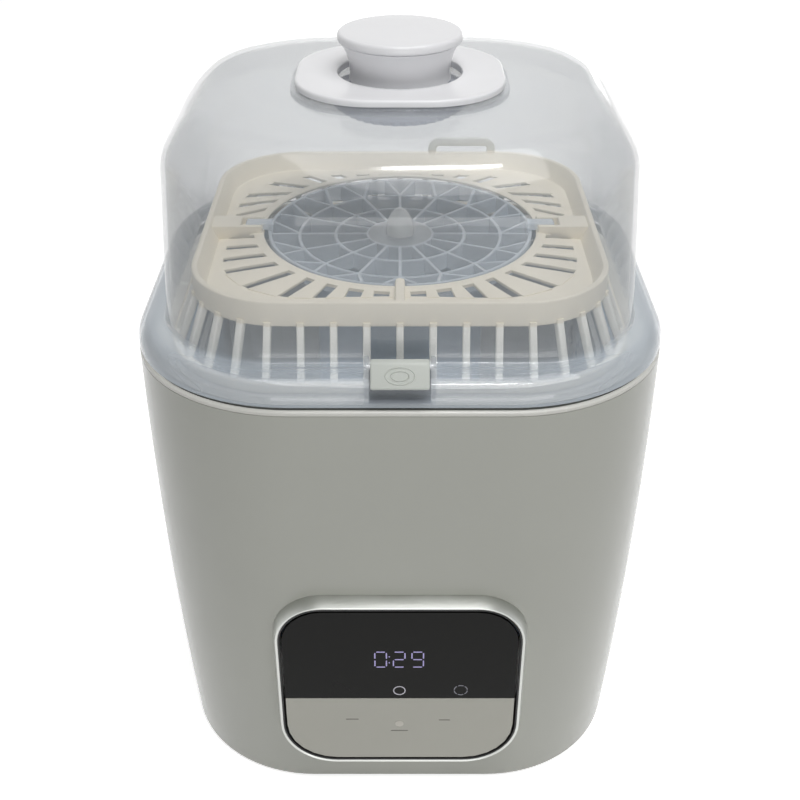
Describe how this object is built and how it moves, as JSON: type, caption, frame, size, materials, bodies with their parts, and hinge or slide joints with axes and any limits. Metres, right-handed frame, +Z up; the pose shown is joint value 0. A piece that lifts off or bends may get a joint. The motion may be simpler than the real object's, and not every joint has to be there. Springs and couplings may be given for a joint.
{
  "type": "baby bottle sterilizer",
  "caption": "Counter-top steam sterilizer and dryer for baby bottles: rounded-square base with touch panel, basket, slotted tray, clear rack and lift-off frosted dome lid.",
  "frame": {"origin": "under the middle of the whole object's box, on the plane that the feet stand on", "axes": "+X to the right as seen from the front, +Y to the rear, +Z up; the touch panel faces -Y"},
  "size_m": [0.249, 0.2476, 0.3659],
  "materials": {
    "casing": "glossy warm grey moulded plastic",
    "light_frame": "satin light grey moulded plastic",
    "cream": "satin cream moulded plastic",
    "tub_grey": "satin blue-grey moulded plastic",
    "clear": "clear moulded plastic",
    "frosted": "translucent smoky moulded plastic",
    "white": "glossy white moulded plastic",
    "silver": "satin silver plating",
    "dark_glass": "glossy black display window",
    "grey_glass": "glossy grey touch panel",
    "latch_grey": "matte light grey moulded plastic",
    "steel": "polished stainless steel",
    "rubber": "dark rubber",
    "silicone": "translucent white silicone",
    "board": "green circuit board",
    "dark_plastic": "dark moulded plastic",
    "brass": "brass and copper windings",
    "filter_white": "pleated white filter paper"
  },
  "bodies": {
    "base": {"base_shell": "casing", "top_frame": "light_frame", "inner_tub": "tub_grey", "plate_seal": "silicone", "heating_plate": "steel", "heating_element": "steel", "thermostat": "dark_plastic", "temperature_sensor": "brass", "base_floor": "casing", "foot_1": "rubber", "foot_2": "rubber", "foot_3": "rubber", "foot_4": "rubber", "cover_screw_1": "steel", "cover_screw_2": "steel", "cover_screw_3": "steel", "cover_screw_4": "steel", "panel_bezel": "silver", "display_window": "dark_glass", "touch_panel": "grey_glass", "display_board": "board", "digit_module": "dark_plastic", "touch_pad_left": "dark_plastic", "touch_pad_middle": "dark_plastic", "touch_pad_right": "dark_plastic", "power_board": "board", "transformer": "brass", "relay": "dark_plastic", "capacitor": "dark_plastic", "fan_housing": "dark_plastic", "fan_motor": "steel", "air_duct": "dark_plastic", "air_heater": "brass", "filter_seat": "dark_plastic", "cord_inlet": "dark_plastic"},
    "basket": {"bottle_basket": "cream"},
    "tray": {"top_tray": "cream"},
    "rack": {"clear_rack": "clear"},
    "lid": {"lid_dome": "frosted", "knob_plate": "white", "knob_neck": "white", "knob_cap": "white", "knob_boss": "clear", "knob_screw": "steel", "latch_pin": "steel"},
    "latch": {"front_latch": "latch_grey"},
    "fan": {"fan_impeller": "dark_plastic", "fan_shaft": "steel"},
    "filter": {"filter_cover": "casing", "filter_cartridge": "filter_white"}
  },
  "joints": [
    {"name": "basket_lift", "type": "slide", "parent": "base", "child": "basket", "axis": [0, 0, 1], "range_m": [0, 0.18]},
    {"name": "tray_lift", "type": "slide", "parent": "basket", "child": "tray", "axis": [0, 0, 1], "range_m": [0, 0.12]},
    {"name": "rack_lift", "type": "slide", "parent": "tray", "child": "rack", "axis": [0, 0, 1], "range_m": [0, 0.08]},
    {"name": "lid_lift", "type": "slide", "parent": "rack", "child": "lid", "axis": [0, 0, 1], "range_m": [0, 0.16]},
    {"name": "latch_swing", "type": "hinge", "parent": "lid", "child": "latch", "pos_m": [0, -0.10806, 0.2515], "axis": [-1, 0, 0], "range_deg": [0, 60]},
    {"name": "fan_spin", "type": "hinge", "parent": "base", "child": "fan", "pos_m": [-0.017, 0.07554, 0.04], "axis": [0, 1, 0], "continuous": true},
    {"name": "filter_pull", "type": "slide", "parent": "base", "child": "filter", "axis": [0, 1, 0], "range_m": [0, 0.04]}
  ]
}
